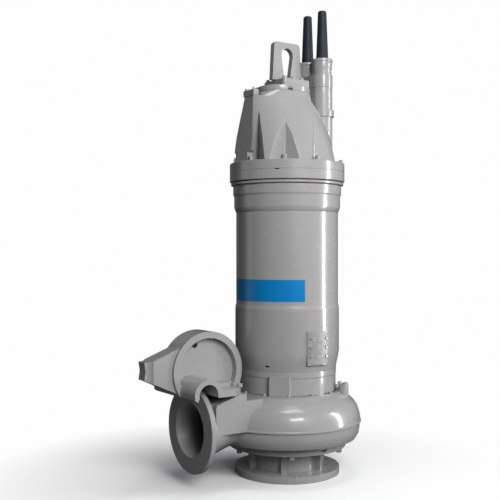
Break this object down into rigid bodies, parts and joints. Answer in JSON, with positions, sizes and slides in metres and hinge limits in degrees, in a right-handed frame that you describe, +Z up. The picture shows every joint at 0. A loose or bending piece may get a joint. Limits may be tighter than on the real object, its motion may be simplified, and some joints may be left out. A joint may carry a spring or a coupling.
{
  "type": "submersible sewage pump",
  "caption": "Tall grey submersible sewage pump with a spiral casing, side discharge flange, guide claw, lifting handle and capped cable entries.",
  "frame": {"origin": "middle of the whole pump's footprint, on the floor under the base flange", "axes": "+Z up along the motor; the discharge flange and guide claw point to -X"},
  "size_m": [1.1322, 0.6946, 2.244],
  "materials": {
    "grey_paint": "gloss warm grey paint over cast iron",
    "nameplate_paint": "painted plate, blank",
    "blue_label": "plain blue vinyl band",
    "black_rubber": "smooth moulded rubber",
    "wet_iron": "bare dark cast iron"
  },
  "bodies": {
    "root": {"inlet_spool": "grey_paint", "suction_cover": "grey_paint", "volute_casing": "grey_paint", "guide_claw": "grey_paint", "oil_housing": "grey_paint", "seal_ring": "grey_paint", "cooling_jacket": "grey_paint", "stator_housing": "grey_paint", "stator_collar": "grey_paint", "joint_ring": "grey_paint", "lower_flange": "grey_paint", "upper_flange": "grey_paint", "motor_dome": "grey_paint", "dome_cap": "grey_paint", "handle_block": "grey_paint", "lifting_handle": "grey_paint", "blank_cover": "grey_paint", "cable_entry_housing": "grey_paint", "gland_bridge": "grey_paint", "gland_body_1": "grey_paint", "gland_body_2": "grey_paint", "gland_plate_1": "grey_paint", "gland_plate_2": "grey_paint", "nameplate_pad": "grey_paint", "nameplate_1": "nameplate_paint", "nameplate_2": "nameplate_paint", "nameplate_3": "nameplate_paint", "label_band": "blue_label", "cable_sleeve_1": "black_rubber", "cable_sleeve_2": "black_rubber", "impeller": "wet_iron", "wear_ring": "wet_iron"}
  },
  "joints": []
}
